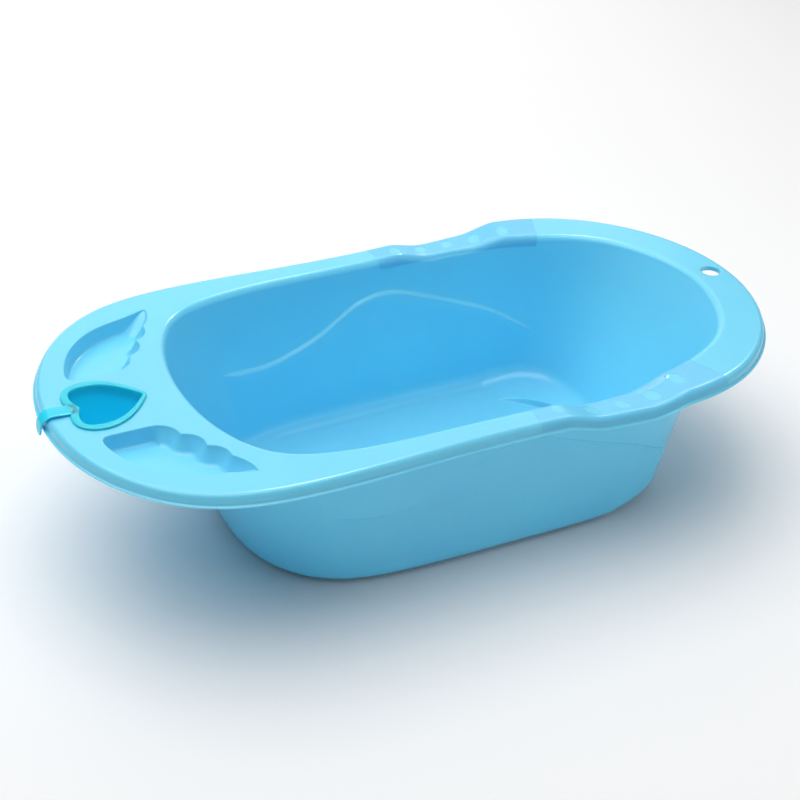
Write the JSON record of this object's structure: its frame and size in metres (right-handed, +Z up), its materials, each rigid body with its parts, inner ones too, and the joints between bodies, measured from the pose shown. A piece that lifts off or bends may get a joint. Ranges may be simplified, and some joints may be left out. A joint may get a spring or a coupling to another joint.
{
  "type": "baby bathtub",
  "caption": "Moulded baby bathtub with a wide flanged rim, soap dishes, side grips, a hanging hole and a lift-out heart-shaped rinse ladle.",
  "frame": {"origin": "on the standing surface under the middle of the rim's length, on the tub's plane of symmetry", "axes": "+Z up, +X towards the head end, so the foot end with the ladle is at -X"},
  "size_m": [1.0122, 0.5268, 0.243],
  "materials": {
    "tub_plastic": "smooth glossy moulded polypropylene, sky blue",
    "grip_rubber": "satin soft-touch elastomer, slightly deeper blue",
    "ladle_plastic": "smooth glossy moulded polypropylene, deeper blue"
  },
  "bodies": {
    "tub": {"tub_shell": "tub_plastic", "side_grip_left": "grip_rubber", "side_grip_right": "grip_rubber"},
    "ladle": {"rinse_ladle": "ladle_plastic"}
  },
  "joints": [
    {"name": "ladle_lift", "type": "slide", "parent": "tub", "child": "ladle", "axis": [0, 0, 1], "range_m": [0, 0.15]}
  ]
}
